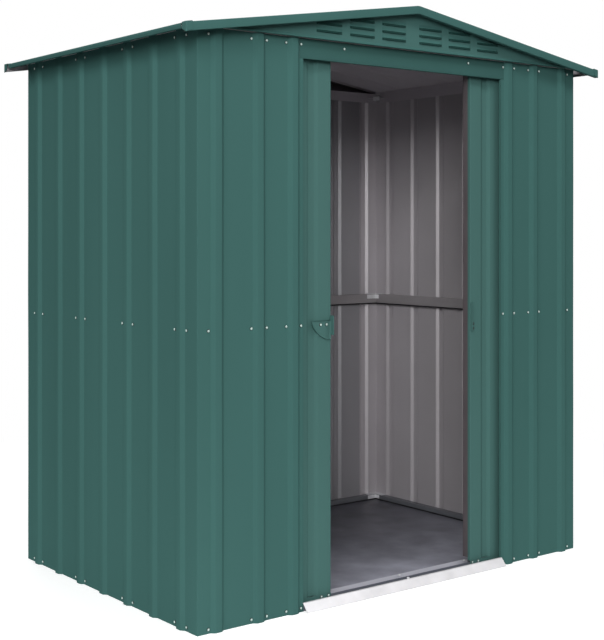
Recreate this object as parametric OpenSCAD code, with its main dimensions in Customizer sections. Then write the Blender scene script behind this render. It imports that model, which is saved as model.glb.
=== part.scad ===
// Metal storage shed with a low gable roof, two sliding doors and a ramp.
// Origin: centre of the wall footprint on the ground. +Z is up, the doorway faces -Y.
// Every wall, roof and door skin is one bent sheet: its section is a path with a thickness.

/* [Shed] */
// Width over the flat of the side walls
shed_width = 1800; // [1400:10:2400]
// Depth over the flat of the front and back walls
shed_depth = 1200; // [900:10:2000]
// Height of the wall sheets
wall_height = 1920; // [1500:10:2400]
// Slope of the roof, in degrees
roof_pitch = 9; // [6:0.1:15]
// Thickness of the wall, roof and door sheets
sheet_t = 1; // [0.8:0.1:2]

/* [Ribs] */
// Width of a rib where it leaves the flat of its sheet
rib_base = 50; // [40:1:60]
// Width of a rib along its flat crown
rib_crown = 24; // [14:1:34]
// Height of a rib
rib_height = 11; // [6:0.5:13]
// Corner to the first rib on the front and back walls
front_rib_inset = 74.5; // [60:0.5:90]
// Spacing of the ribs on the front wall
front_rib_pitch = 164.5; // [140:0.5:200]
// Last front rib to the edge of the doorway
jamb_rib_inset = 42; // [36:1:60]
// Corner to the first rib on a side wall
side_rib_inset = 96; // [70:1:110]
// Rib centre to the seam beside it
seam_offset = 30; // [30:1:40]

/* [Doorway] */
// Clear width between the jambs of the front wall
doorway_width = 954; // [700:2:1160]
// Height of the header sheet over the doorway
header_height = 68; // [50:1:110]
// Run of the ramp in front of the doorway
ramp_run = 27; // [20:1:80]
// Height of the ramp and of the base rails
base_height = 28; // [26:1:45]
// Thickness of the floor panel
floor_t = 5; // [3:0.5:12]

/* [Doors] */
// Part of each door that laps behind the front wall when closed
door_lap = 56; // [40:1:90]
// Depth of a door from its face to the back of its frame
door_depth = 40; // [30:1:50]
// Depth of the bent edges of a door sheet
door_edge = 13; // [8:1:18]
// Width of the upright channels along the edges of a door
stile_width = 24; // [16:1:40]
// Face of the front wall to the face of the door
door_setback = 25; // [24:1:30]
// Depth of the pressed grooves of a door sheet
door_groove_depth = 7; // [4:0.5:8]
// Edge of a door to the middle of the groove beside it
door_groove_inset = 82; // [76:1:100]
// Least gap between an open door and the side wall
door_side_gap = 32; // [24:1:60]
// Gap from each closed door to the middle of the doorway
door_meeting_gap = 3; // [3:0.5:8]
// Height of the middle of the pulls
pull_height = 952; // [800:1:1200]
// Radius of the round side of the left pull
left_pull_radius = 88; // [70:1:100]
// Height of the left pull
left_pull_height = 66; // [50:1:68]
// Height of the right pull
right_pull_height = 106; // [80:1:120]
// How far the grips stand out from a door
grip_depth = 20; // [12:1:24]

/* [Roof] */
// Roof edge beyond the flat of the side walls
eave_overhang = 77; // [50:1:110]
// Roof edge beyond the flat of the front wall
front_overhang = 57; // [45:1:90]
// Roof edge beyond the flat of the back wall
back_overhang = 40; // [30:1:90]
// Height of the trim along the sloping edges
verge_height = 29; // [26:1:50]
// Height of the trim along the eaves
eave_height = 16; // [15:1:34]
// Height of a rib of the roof sheets
roof_rib_height = 6; // [4:0.5:10]
// Width of the ridge cap on each side of the ridge
ridge_cap_half = 95; // [60:1:140]
// Flat of the wall to the face of the gable
gable_step = 22; // [16:1:30]
// Length of a louvre slot
louvre_length = 100; // [70:1:120]
// Spacing of the louvre slots along a row
louvre_pitch = 147; // [125:1:160]
// Spacing of the rows of louvre slots
louvre_row_pitch = 25.5; // [18:0.5:28]

/* [Frame] */
// Thickness of the rails
rail_t = 1.5; // [1:0.1:2.5]
// Depth of the base and top rails
rail_depth = 30; // [24:1:40]
// Height of the middle rails
mid_rail_height = 42; // [30:1:60]
// Depth of the middle rails
mid_rail_depth = 15; // [12:1:22]
// Height of the underside of the middle rails
mid_rail_level = 933; // [700:1:1100]
// Height of the top rails
top_rail_height = 40; // [30:1:50]

/* [Hidden] */
seat = 0.3;
half_w = shed_width / 2;
half_d = shed_depth / 2;
jamb = doorway_width / 2;
panel_w = half_w - jamb;
slope = tan(roof_pitch);
in_w = half_w - sheet_t;
in_d = half_d - sheet_t;

// Ribs and seams, as places along each wall
last_front_rib = panel_w - jamb_rib_inset;
front_ribs = concat(
    [for (s = [front_rib_inset : front_rib_pitch : last_front_rib - 1.5 * rib_base]) s],
    [last_front_rib]);
back_rib_steps = 10;
back_rib_pitch = (shed_width - 2 * front_rib_inset) / back_rib_steps;
side_rib_steps = 6;
side_rib_pitch = (shed_depth - 2 * side_rib_inset) / side_rib_steps;
back_ribs = [for (i = [0 : back_rib_steps]) front_rib_inset - half_w + i * back_rib_pitch];
side_ribs = [for (i = [0 : side_rib_steps]) side_rib_inset - half_d + i * side_rib_pitch];
side_seams = [side_ribs[0] + seam_offset, side_ribs[2] + seam_offset,
    side_ribs[4] - seam_offset, side_ribs[6] - seam_offset];
back_seams = [back_ribs[0] + seam_offset, back_ribs[3] + seam_offset,
    back_ribs[7] - seam_offset, back_ribs[10] - seam_offset];

// Roof: underside of its flat at the wall, and the stack above that underside
roof_start = wall_height + rib_height * slope + 0.8;
rib_top = sheet_t + roof_rib_height;
trim_seat = rib_top + seat;
trim_top = trim_seat + sheet_t;
roof_half = half_w + eave_overhang;
roof_front = -half_d - front_overhang;
roof_back = half_d + back_overhang;
roof_rib_inset = 70;
roof_rib_steps = 7;
gable_front = half_d + gable_step;
gable_foot_lap = 12;
gable_flange = 26;
verge_flange = 28;
verge_lip = 13;
eave_flange = 30;
eave_lip = 12;
trim_inset = 30;

// Louvre slots: how many in each row, the first of them, and the lip under each
louvre_counts = [3, 3, 2];
louvre_first = 0.6 * louvre_pitch;
louvre_level = wall_height + 28;
louvre_slot = 3.6;
louvre_lip = 4;

// Front wall beside and above the doorway
jamb_return = 8;
header_lap = 16;
header_lip_gap = 1;
header_bottom = wall_height - header_height;

// Doors: plan places of the right door when it is open
door_face = -half_d + door_setback;
door_back = door_face + door_depth;
door_w = jamb + door_lap - door_meeting_gap;
pull_edge_gap = 3;
pull_clear = 9;
door_inner = min(half_w - door_side_gap - door_w,
    jamb - left_pull_radius - pull_edge_gap - pull_clear);
door_outer = door_inner + door_w;
door_bottom = 20;
door_top = header_bottom + 22;
door_apron = 14;
door_groove_steps = 3;
door_groove_pitch = (door_w - 2 * door_groove_inset) / door_groove_steps;
door_rail_front = door_face + sheet_t + door_groove_depth;
door_mid_level = pull_height - 40;

// Track and head rail: the doors run between their legs
ridge_y = door_face + 11;
ridge_t = 3;
ridge_top = base_height - 2;
track_back = door_back + 6;
runner_length = 26;
runner_w = 16;
runner_side_gap = 1;
runner_inset = stile_width + 4;
runner_foot = 10;
door_rail_bottom = 44;
door_rail_height = 30;
head_leg_front = door_face - 15;
head_leg_back = door_back + 5.5;
head_leg_bottom = door_top - 8;
head_web = door_top + 15;
guide_top = head_web - 3;

green = "#3c5f5b";
inner_grey = "#8c8a84";
galvanised = "#c9cccb";
floor_grey = "#4a4d50";
nylon = "#1d1d1f";

// Left-hand normal of a step, and the corner offset where two steps meet
function left_normal(a, b) = let (d = (b - a) / norm(b - a)) [-d[1], d[0]];
function miter(m, n) = (m + n) / (1 + m * n);
function parallel_path(p, d) = [for (i = [0 : len(p) - 1])
    let (before = left_normal(p[max(i - 1, 0)], p[max(i, 1)]),
         after = left_normal(p[min(i, len(p) - 2)], p[min(i + 1, len(p) - 1)]))
    p[i] + d * miter(before, after)];
function bent_sheet(p, t) = let (q = parallel_path(p, t))
    concat(p, [for (i = [len(q) - 1 : -1 : 0]) q[i]]);

// One run of sheet from a to b with ribs, as [along, outward] points
function rib(s, h) = [[s - rib_base / 2, 0], [s - rib_crown / 2, h],
    [s + rib_crown / 2, h], [s + rib_base / 2, 0]];
function ribbed(a, b, ribs, h) =
    concat([[a, 0]], [for (s = ribs) if (s > a && s < b) each rib(s, h)], [[b, 0]]);
function without_first(p) = [for (i = [1 : len(p) - 1]) p[i]];

// Places on the four walls of a point at s along and h outward, walked counterclockwise
function on_front(p) = [for (q = p) [q[0], -half_d - q[1]]];
function on_right(p) = [for (q = p) [half_w + q[1], q[0]]];
function on_back(p) = [for (q = p) [-q[0], half_d + q[1]]];
function on_left(p) = [for (q = p) [-half_w - q[1], -q[0]]];

// Height of a roof layer at x, where lift is its height over the underside of the flat
function roof_z(x, lift) = roof_start + (half_w - abs(x)) * slope + lift;

module upright(path, t, z0, z1)
    translate([0, 0, z0]) linear_extrude(z1 - z0) polygon(bent_sheet(path, t));

// A rail along X, from a path of [y, z] points, and one along Y, from [x, z] points
module along_x(path, t, x0, x1)
    translate([x0, 0, 0]) rotate([90, 0, 90]) linear_extrude(x1 - x0) polygon(bent_sheet(path, t));
module along_y(path, t, y0, y1)
    translate([0, y1, 0]) rotate([90, 0, 0]) linear_extrude(y1 - y0) polygon(bent_sheet(path, t));

module block(low, high) translate(low) cube(high - low);

// A strip that follows both slopes, from one lift to another
module chevron(half, low, high, y0, y1)
    translate([0, y1, 0]) rotate([90, 0, 0]) linear_extrude(y1 - y0) polygon([
        [-half, roof_z(half, low)], [0, roof_z(0, low)], [half, roof_z(half, low)],
        [half, roof_z(half, high)], [0, roof_z(0, high)], [-half, roof_z(half, high)]]);

module flip_x(on) mirror([on ? 1 : 0, 0, 0]) children();
module flip_y(on) mirror([0, on ? 1 : 0, 0]) children();

// Walls
module corner_sheet_front(flipped)
    color(green) flip_x(flipped) {
        upright(concat(
            on_left(ribbed(-side_seams[0], half_d, [-side_ribs[0]], rib_height)),
            without_first(on_front(ribbed(-half_w, -jamb,
                [for (s = front_ribs) s - half_w], rib_height)))), sheet_t, 0, wall_height);
        block([-jamb - sheet_t, -half_d, base_height + 2 * rail_t],
            [-jamb, -half_d + jamb_return, header_bottom]);
    }

module corner_sheet_back(flipped)
    color(green) flip_x(flipped)
        upright(concat(
            on_back(ribbed(-back_seams[0], half_w, [-back_ribs[0]], rib_height)),
            without_first(on_left(ribbed(-half_d, -side_seams[3], [-side_ribs[6]], rib_height)))),
            sheet_t, 0, wall_height);

module side_sheet(index, flipped)
    color(green) flip_x(flipped)
        upright(on_left(ribbed(-side_seams[index], -side_seams[index - 1],
            [for (i = [len(side_ribs) - 1 : -1 : 0]) -side_ribs[i]], rib_height)),
            sheet_t, 0, wall_height);

module back_sheet(index)
    color(green)
        upright(on_back(ribbed(-back_seams[index], -back_seams[index - 1],
            [for (i = [len(back_ribs) - 1 : -1 : 0]) -back_ribs[i]], rib_height)),
            sheet_t, 0, wall_height);

// Base
base_path = [[-in_w, 0], [-in_w, base_height],
    [-in_w + rail_depth, base_height], [-in_w + rail_depth, 0]];
module base_rail_side(flipped)
    color(galvanised) flip_x(flipped)
        along_y(base_path, -rail_t, track_back, in_d - rail_depth);

module base_rail_back()
    color(galvanised) along_x([[in_d - rail_depth, 0], [in_d - rail_depth, base_height],
        [in_d, base_height], [in_d, 0]], -rail_t, -in_w, in_w);

module floor_panel()
    color(floor_grey) block([-in_w + rail_depth, track_back, 0],
        [in_w - rail_depth, in_d - rail_depth, floor_t]);

module threshold_track()
    color(galvanised) {
        along_x([[-in_d, base_height], [-in_d, 0], [track_back, 0], [track_back, base_height]],
            rail_t, -in_w, in_w);
        block([-in_w, ridge_y - ridge_t / 2, rail_t / 2],
            [in_w, ridge_y + ridge_t / 2, ridge_top]);
    }

ramp_half = jamb + 3;
ramp_tongue = jamb - 2;
module ramp()
    color(galvanised) {
        along_x([[-half_d - 2 * rail_t, base_height + rail_t],
            [-half_d - ramp_run, rail_t]], rail_t, -ramp_half, ramp_half);
        block([-ramp_half, -half_d - 2 * rail_t - 1, base_height],
            [ramp_half, -half_d, base_height + rail_t]);
        block([-ramp_tongue, -half_d - 1, base_height],
            [ramp_tongue, -in_d + rail_t, base_height + rail_t]);
    }

// Header sheet over the doorway, with a lower lip between the jambs
module header()
    color(green) {
        block([-jamb - header_lap, -half_d - sheet_t, header_bottom],
            [jamb + header_lap, -half_d, wall_height]);
        block([-jamb + header_lip_gap, -half_d - sheet_t, header_bottom],
            [jamb - header_lip_gap, -half_d + jamb_return - header_lip_gap, header_bottom + sheet_t]);
    }

// Head rail: a flange on the front wall, and a channel that guides the doors
module door_head_rail()
    color(galvanised) {
        along_x([[-in_d, wall_height - 2], [-in_d, head_web],
            [head_leg_back + rail_t, head_web], [head_leg_back + rail_t, head_leg_bottom]],
            rail_t, -in_w, in_w);
        block([-in_w, head_leg_front - rail_t, head_leg_bottom],
            [in_w, head_leg_front, head_web + rail_t / 2]);
    }

// Middle rails, as channels that open towards the wall
strap_depth = 8;
strap_end_gap = 3;
module mid_rail_side(flipped)
    color(galvanised) flip_x(flipped)
        along_y([[-in_w, mid_rail_level], [-in_w + mid_rail_depth, mid_rail_level],
            [-in_w + mid_rail_depth, mid_rail_level + mid_rail_height],
            [-in_w, mid_rail_level + mid_rail_height]],
            rail_t, -in_d + strap_depth + 1, in_d - mid_rail_depth);

module mid_rail_back()
    color(galvanised)
        along_x([[in_d, mid_rail_level], [in_d - mid_rail_depth, mid_rail_level],
            [in_d - mid_rail_depth, mid_rail_level + mid_rail_height],
            [in_d, mid_rail_level + mid_rail_height]], -rail_t, -in_w, in_w);

module front_strap(flipped)
    color(galvanised) flip_x(flipped)
        along_x([[-in_d, mid_rail_level], [-in_d + strap_depth, mid_rail_level],
            [-in_d + strap_depth, mid_rail_level + mid_rail_height],
            [-in_d, mid_rail_level + mid_rail_height]], rail_t, -in_w, -jamb - strap_end_gap);

// Top rails: a leg on the wall and a flange under the roof
top_rail_drop = 12;
module top_rail_side(flipped)
    color(galvanised) flip_x(flipped)
        along_y([[-in_w, wall_height - top_rail_height], [-in_w, roof_z(in_w, -seat)],
            [-in_w + rail_depth, roof_z(in_w - rail_depth, -seat)],
            [-in_w + rail_depth, roof_z(in_w - rail_depth, -seat) - top_rail_drop]],
            -rail_t, head_leg_back + 2 * rail_t, in_d - rail_depth);

module top_rail_back()
    color(galvanised)
        along_x([[in_d, wall_height - top_rail_height], [in_d, wall_height],
            [in_d - rail_depth, wall_height],
            [in_d - rail_depth, wall_height - top_rail_drop]],
            rail_t, -in_w, in_w);

// Flat angle plates that tie the rails together in the two back corners
plate_t = 2;
base_plate_arm = 70;
wall_plate_arm = 60;
top_plate_width = 20;
module angle_plate(x, y, z, arm, width)
    for (side = [-1, 1]) {
        block([min(side * x, side * (x - arm)), y - width, z],
            [max(side * x, side * (x - arm)), y, z + plate_t]);
        block([min(side * x, side * (x - width)), y - arm, z],
            [max(side * x, side * (x - width)), y, z + plate_t]);
    }

module corner_plates()
    color("#dfe2e2") {
        angle_plate(in_w, in_d, base_height, base_plate_arm, rail_depth - plate_t);
        angle_plate(in_w, in_d, mid_rail_level + mid_rail_height, wall_plate_arm, mid_rail_depth);
        angle_plate(in_w - rail_t, in_d - rail_t, wall_height - top_rail_height / 2,
            wall_plate_arm, top_plate_width);
    }

// Gables: a stepped-out face with louvre slots, a foot on the wall and flanges under the roof
module louvre_places()
    for (row = [0 : 2], side = [-1, 1], i = [0 : louvre_counts[row] - 1])
        translate([side * (louvre_first + i * louvre_pitch), 0, louvre_level + row * louvre_row_pitch])
            children();

module gable(flipped)
    color(green) flip_y(flipped) {
        difference() {
            translate([0, -gable_front + sheet_t, 0]) rotate([90, 0, 0])
                linear_extrude(sheet_t) polygon([[-half_w, wall_height], [half_w, wall_height],
                    [half_w, roof_z(half_w, -seat)], [0, roof_z(0, -seat)],
                    [-half_w, roof_z(half_w, -seat)]]);
            louvre_places() cube([louvre_length, 4 * gable_front, louvre_slot], center = true);
        }
        louvre_places() translate([-louvre_length / 2, -gable_front - louvre_lip,
            -louvre_slot / 2 - sheet_t])
            cube([louvre_length, louvre_lip + sheet_t / 2, sheet_t]);
        block([-half_w, -gable_front, wall_height],
            [half_w, -half_d + gable_foot_lap, wall_height + sheet_t]);
        chevron(half_w, -seat - sheet_t, -seat, -gable_front, -gable_front + gable_flange);
    }

// Roof
roof_ribs = [for (i = [0 : roof_rib_steps])
    roof_rib_inset + i * (roof_back - roof_front - 2 * roof_rib_inset) / roof_rib_steps];
sheet_edge = roof_half - seat - rib_top * sin(roof_pitch);
module roof_sheet(flipped)
    color(green) flip_x(flipped)
        translate([-sheet_edge, roof_front + seat, roof_z(sheet_edge, 0)])
            rotate([0, -roof_pitch, 0]) rotate([90, 0, 90])
                linear_extrude((sheet_edge - seat) / cos(roof_pitch))
                    polygon(bent_sheet([for (p = ribbed(0, roof_back - roof_front - 2 * seat,
                        roof_ribs, roof_rib_height)) [p[0], p[1] + sheet_t]], -sheet_t));

module ridge_cap()
    color(green) chevron(ridge_cap_half, trim_seat, trim_top,
        roof_front + trim_inset, roof_back - trim_inset);

module verge_trim(flipped)
    color(green) flip_y(flipped) {
        edge = flipped ? -roof_back : roof_front;
        low = trim_top - verge_height;
        chevron(roof_half + sheet_t, low, trim_top, edge - sheet_t, edge);
        chevron(roof_half + sheet_t, trim_seat, trim_top, edge - sheet_t, edge + verge_flange);
        chevron(roof_half + sheet_t, low, low + sheet_t, edge - sheet_t, edge + verge_lip);
    }

module eave_trim(flipped)
    color(green) flip_x(flipped)
        along_y([[-roof_half + eave_flange, roof_z(roof_half - eave_flange, trim_top)],
            [-roof_half - sheet_t, roof_z(roof_half + sheet_t, trim_top)],
            [-roof_half - sheet_t, roof_z(roof_half + sheet_t, trim_top) - eave_height],
            [-roof_half + eave_lip, roof_z(roof_half + sheet_t, trim_top) - eave_height]],
            sheet_t, roof_front + trim_inset, roof_back - trim_inset);

cap_size = 24;
cap_t = 2;
cap_outer = roof_half + sheet_t + seat + cap_t;
cap_floor = roof_z(roof_half, trim_top) - verge_height - cap_t;
module cap_outline(outer, inner, lift, floor_z)
    polygon([[-outer, floor_z], [-inner, floor_z],
        [-inner, roof_z(inner, lift)], [-outer, roof_z(outer, lift)]]);

module corner_cap(edge)
    difference() {
        translate([0, edge - sheet_t - seat - cap_t + cap_size, 0]) rotate([90, 0, 0])
            linear_extrude(cap_size)
                cap_outline(cap_outer, cap_outer - cap_size, trim_top + seat + cap_t, cap_floor);
        translate([0, edge - sheet_t - seat + 2 * cap_size, 0]) rotate([90, 0, 0])
            linear_extrude(2 * cap_size)
                cap_outline(cap_outer - cap_t, cap_outer - 2 * cap_size, trim_top + seat, cap_floor - 1);
    }

module roof_corner_caps()
    color(green) for (across = [false, true])
        flip_x(across) {
            corner_cap(roof_front);
            flip_y(true) corner_cap(-roof_back);
        }

// Doors, drawn as the right one when open
door_grooves = [for (i = [0 : door_groove_steps])
    door_inner + door_groove_inset + i * door_groove_pitch];
module door_sheet()
    color(green) {
        face = [for (p = ribbed(door_inner, door_outer, door_grooves, door_groove_depth))
            [p[0], door_face + p[1]]];
        edge_y = door_face + door_edge;
        block([door_inner, door_face, door_bottom],
            [door_outer, door_face + sheet_t, door_bottom + door_apron + sheet_t]);
        upright(concat([[door_inner, edge_y]], face, [[door_outer, edge_y]]),
            sheet_t, door_bottom + door_apron, door_top);
    }

// Upright channels inside the edges of the sheet, and the rails between them
module door_stiles()
    color(inner_grey) for (outer = [false, true]) {
        edge = outer ? door_outer - sheet_t : door_inner + sheet_t;
        turn = outer ? -1 : 1;
        upright([[edge + turn * stile_width, door_face + sheet_t], [edge, door_face + sheet_t],
            [edge, door_back], [edge + turn * stile_width, door_back]],
            -turn * rail_t, door_rail_bottom, door_top);
    }

module door_rail(z0)
    color(galvanised)
        along_x([[door_back, z0], [door_rail_front, z0],
            [door_rail_front, z0 + door_rail_height], [door_back, z0 + door_rail_height]],
            -rail_t, door_inner + sheet_t + stile_width, door_outer - sheet_t - stile_width);

module door_runners()
    color(nylon) for (x = [door_inner + runner_inset, door_outer - runner_inset - runner_length]) {
        difference() {
            block([x, ridge_y - runner_w / 2, ridge_top - runner_foot],
                [x + runner_length, ridge_y + runner_w / 2, door_rail_bottom]);
            block([x - 1, ridge_y - ridge_t / 2 - runner_side_gap, -1],
                [x + runner_length + 1, ridge_y + ridge_t / 2 + runner_side_gap, ridge_top + seat]);
        }
        block([x, head_leg_front + runner_side_gap, door_top],
            [x + runner_length, head_leg_back - runner_side_gap, guide_top]);
    }

// Left pull: a plate with a round lower side, a low rim and a grip along the edge of the door
pull_edge = door_inner + pull_edge_gap;
pull_plate = 2;
left_disc_drop = 15;
right_pull_width = 18;
module round_side(inset)
    intersection() {
        translate([0, left_pull_height / 3]) circle(r = left_pull_radius - inset, $fn = 96);
        translate([inset, -left_pull_radius]) square([left_pull_radius, left_pull_radius - inset]);
    }

module left_pull()
    color(green) flip_x(true) {
        translate([pull_edge, door_face, pull_height + left_pull_height / 2 - left_disc_drop])
            rotate([90, 0, 0]) {
                linear_extrude(pull_plate) round_side(0);
                linear_extrude(4 * pull_plate) difference() {
                    round_side(0);
                    round_side(pull_plate);
                }
            }
        block([pull_edge, door_face - grip_depth, pull_height - left_pull_height / 2],
            [pull_edge + pull_plate, door_face, pull_height + left_pull_height / 2]);
    }

// Right pull: a narrow upright strip with a grip along the edge of the door
module right_pull()
    color(green) {
        low = pull_height - right_pull_height / 2;
        block([pull_edge, door_face - pull_plate, low],
            [pull_edge + right_pull_width, door_face, low + right_pull_height]);
        block([pull_edge, door_face - grip_depth / 2, low],
            [pull_edge + pull_plate, door_face, low + right_pull_height]);
    }

corner_sheet_front(false);  // corner_sheet_front_left
corner_sheet_front(true);  // corner_sheet_front_right
corner_sheet_back(false);  // corner_sheet_back_left
corner_sheet_back(true);  // corner_sheet_back_right
side_sheet(1, false);  // left_wall_sheet_1
side_sheet(2, false);  // left_wall_sheet_2
side_sheet(3, false);  // left_wall_sheet_3
side_sheet(1, true);  // right_wall_sheet_1
side_sheet(2, true);  // right_wall_sheet_2
side_sheet(3, true);  // right_wall_sheet_3
back_sheet(1);  // back_wall_sheet_1
back_sheet(2);  // back_wall_sheet_2
back_sheet(3);  // back_wall_sheet_3
base_rail_side(false);  // base_rail_left
base_rail_side(true);  // base_rail_right
base_rail_back();
floor_panel();
threshold_track();
ramp();
header();
door_head_rail();
mid_rail_side(false);  // mid_rail_left
mid_rail_side(true);  // mid_rail_right
mid_rail_back();
front_strap(false);  // front_strap_left
front_strap(true);  // front_strap_right
top_rail_side(false);  // top_rail_left
top_rail_side(true);  // top_rail_right
top_rail_back();
corner_plates();
gable(false);  // front_gable
gable(true);  // back_gable
roof_sheet(false);  // roof_sheet_left
roof_sheet(true);  // roof_sheet_right
ridge_cap();
verge_trim(false);  // front_verge_trim
verge_trim(true);  // back_verge_trim
eave_trim(false);  // eave_trim_left
eave_trim(true);  // eave_trim_right
roof_corner_caps();
flip_x(true) door_sheet();  // left_door_sheet
flip_x(true) door_stiles();  // left_door_stiles
flip_x(true) door_rail(door_top - door_rail_height);  // left_door_top_rail
flip_x(true) door_rail(door_mid_level);  // left_door_mid_rail
flip_x(true) door_rail(door_rail_bottom);  // left_door_bottom_rail
flip_x(true) door_runners();  // left_door_runners
left_pull();  // left_door_pull
door_sheet();  // right_door_sheet
door_stiles();  // right_door_stiles
door_rail(door_top - door_rail_height);  // right_door_top_rail
door_rail(door_mid_level);  // right_door_mid_rail
door_rail(door_rail_bottom);  // right_door_bottom_rail
door_runners();  // right_door_runners
right_pull();  // right_door_pull
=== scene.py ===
"""Looks of a metal storage shed: ribbed green sheets, low gable roof, sliding doors and a ramp."""

import math

import bpy
import numpy as np
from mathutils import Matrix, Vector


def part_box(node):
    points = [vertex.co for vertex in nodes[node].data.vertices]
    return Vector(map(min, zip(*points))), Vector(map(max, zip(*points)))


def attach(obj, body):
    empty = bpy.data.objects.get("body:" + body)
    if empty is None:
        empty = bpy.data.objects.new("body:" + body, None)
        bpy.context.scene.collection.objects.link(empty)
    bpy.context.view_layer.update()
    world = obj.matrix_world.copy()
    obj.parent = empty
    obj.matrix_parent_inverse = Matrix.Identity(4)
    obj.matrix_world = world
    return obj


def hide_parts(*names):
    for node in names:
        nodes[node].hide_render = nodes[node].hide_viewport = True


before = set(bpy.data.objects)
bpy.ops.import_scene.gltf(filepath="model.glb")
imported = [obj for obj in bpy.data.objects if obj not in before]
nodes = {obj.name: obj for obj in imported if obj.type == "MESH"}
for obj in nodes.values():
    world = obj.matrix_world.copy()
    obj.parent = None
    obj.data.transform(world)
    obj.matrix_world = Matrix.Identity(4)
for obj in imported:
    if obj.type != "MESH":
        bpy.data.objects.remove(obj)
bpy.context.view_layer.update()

# Sheet and rib sizes, in metres. An inset runs from a sheet's end to its first rib's middle, a
# seat is the gap between roof layers, and a hair keeps a face off the one it is laid on
SHEET = 0.001
RAIL = 0.0015
RIB_BASE = 0.050
RIB_CROWN = 0.024
RIB_RISE = 0.011
ROOF_RIB_RISE = 0.006
ROOF_RIB_INSET = 0.070
ROOF_GAP = 0.0008
RIDGE_SOFTNESS = 0.004
GROOVE_DEPTH = 0.007
GROOVE_INSET = 0.082
DOOR_EDGE = 0.013
DOOR_APRON = 0.014
APRON_LAP = 0.0005
STILE_WIDTH = 0.024
FRONT_RIB_INSET = 0.0745
FRONT_RIB_PITCH = 0.1645
JAMB_RIB_INSET = 0.042
SIDE_RIB_INSET = 0.096
SEAM_OFFSET = 0.030
RIB_BEND = 0.006
FOLD_BEND = 0.0025
PITCH = math.radians(9)
SLOPE = math.tan(PITCH)
SEAT = 0.0003
HAIR = 0.0002
LOUVRE_LIP = 0.004

# How many ribs and grooves there are, and about how far apart the points on a flat are
BACK_RIBS = 11
SIDE_RIBS = 7
ROOF_RIBS = 8
DOOR_GROOVES = 4
FLAT_GAP = 0.03

# Places read from the frame: the walls and the doorway, then the trims, the doors and a pull
half_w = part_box("mid_rail_back")[1].x + SHEET
half_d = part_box("mid_rail_back")[1].y + SHEET
wall_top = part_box("back_wall_sheet_2")[1].z
jamb = -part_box("corner_sheet_front_left")[1].x
header_low, header_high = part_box("header")
gable_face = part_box("front_gable")[0].y + LOUVRE_LIP
front_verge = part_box("front_verge_trim")
back_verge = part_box("back_verge_trim")
eave_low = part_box("eave_trim_right")[0]
cap_low, cap_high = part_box("roof_corner_caps")
door_low, door_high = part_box("right_door_sheet")
door_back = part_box("right_door_stiles")[1].y
pull_low, pull_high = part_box("left_door_pull")

# Middles of the ribs and grooves, and the seams, which stand beside a rib towards the middle
back_ribs = np.linspace(FRONT_RIB_INSET - half_w, half_w - FRONT_RIB_INSET, BACK_RIBS)
side_ribs = np.linspace(SIDE_RIB_INSET - half_d, half_d - SIDE_RIB_INSET, SIDE_RIBS)
front_ribs = np.array([FRONT_RIB_INSET, FRONT_RIB_INSET + FRONT_RIB_PITCH,
                       half_w - jamb - JAMB_RIB_INSET]) - half_w
seam_shift = SEAM_OFFSET * np.array([1, 1, -1, -1])
side_seams = side_ribs[[0, 2, 4, 6]] + seam_shift
back_seams = back_ribs[[0, 3, 7, 10]] + seam_shift
door_grooves = np.linspace(door_low.x + GROOVE_INSET, door_high.x - GROOVE_INSET, DOOR_GROOVES)

# Roof: its height at the wall, the trims' layer above it, its edges and its ribs
roof_start = wall_top + RIB_RISE * SLOPE + ROOF_GAP
TRIM_SEAT = SHEET + ROOF_RIB_RISE + SEAT
TRIM_TOP = TRIM_SEAT + SHEET
roof_half = front_verge[1].x - SHEET
roof_front = front_verge[0].y + SHEET
roof_back = back_verge[1].y - SHEET
roof_ribs = np.linspace(roof_front + ROOF_RIB_INSET, roof_back - ROOF_RIB_INSET, ROOF_RIBS)


# ---------------------------------------------------------------- materials

# The levels between which noise is used, the shares between which roughness varies, the scale
# and depth of the grain, and how clouds are stretched along each axis
NOISE_LOW, NOISE_HIGH = 0.3, 0.7
SMOOTHER, ROUGHER = 0.9, 1.12
GRAIN = 420.0
GRAIN_DEPTH = 0.00004
UPRIGHT = (1, 1, 0.15)
ROUND = (1, 1, 1)


def material(name):
    """Empty node material and its shader."""
    made = bpy.data.materials.new(name)
    made.use_nodes = True
    return made, made.node_tree, made.node_tree.nodes["Principled BSDF"]


def noise(tree, scale, detail, stretch=ROUND):
    """Noise over the object's own coordinates, stretched along each axis."""
    where = tree.nodes.new("ShaderNodeTexCoord")
    mapping = tree.nodes.new("ShaderNodeMapping")
    mapping.inputs["Scale"].default_value = stretch
    texture = tree.nodes.new("ShaderNodeTexNoise")
    texture.inputs["Scale"].default_value = scale
    texture.inputs["Detail"].default_value = detail
    tree.links.new(where.outputs["Object"], mapping.inputs["Vector"])
    tree.links.new(mapping.outputs["Vector"], texture.inputs["Vector"])
    return texture.outputs["Fac"]


def ramp(tree, source, low, high, low_at=NOISE_LOW, high_at=NOISE_HIGH):
    """Colour that runs from low to high as the source runs between two levels."""
    made = tree.nodes.new("ShaderNodeValToRGB")
    made.color_ramp.elements[0].position = low_at
    made.color_ramp.elements[1].position = high_at
    made.color_ramp.elements[0].color = (*low, 1)
    made.color_ramp.elements[1].color = (*high, 1)
    tree.links.new(source, made.inputs["Fac"])
    return made.outputs["Color"]


def level(tree, source, low, high):
    """Number that runs from low to high as the source runs between the two noise levels."""
    made = tree.nodes.new("ShaderNodeMapRange")
    ends = {"From Min": NOISE_LOW, "From Max": NOISE_HIGH, "To Min": low, "To Max": high}
    for socket, value in ends.items():
        made.inputs[socket].default_value = value
    tree.links.new(source, made.inputs["Value"])
    return made.outputs["Result"]


def bump(tree, source, depth):
    """Surface relief of the given depth, in metres."""
    made = tree.nodes.new("ShaderNodeBump")
    made.inputs["Distance"].default_value = depth
    tree.links.new(source, made.inputs["Height"])
    return made.outputs["Normal"]


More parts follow.
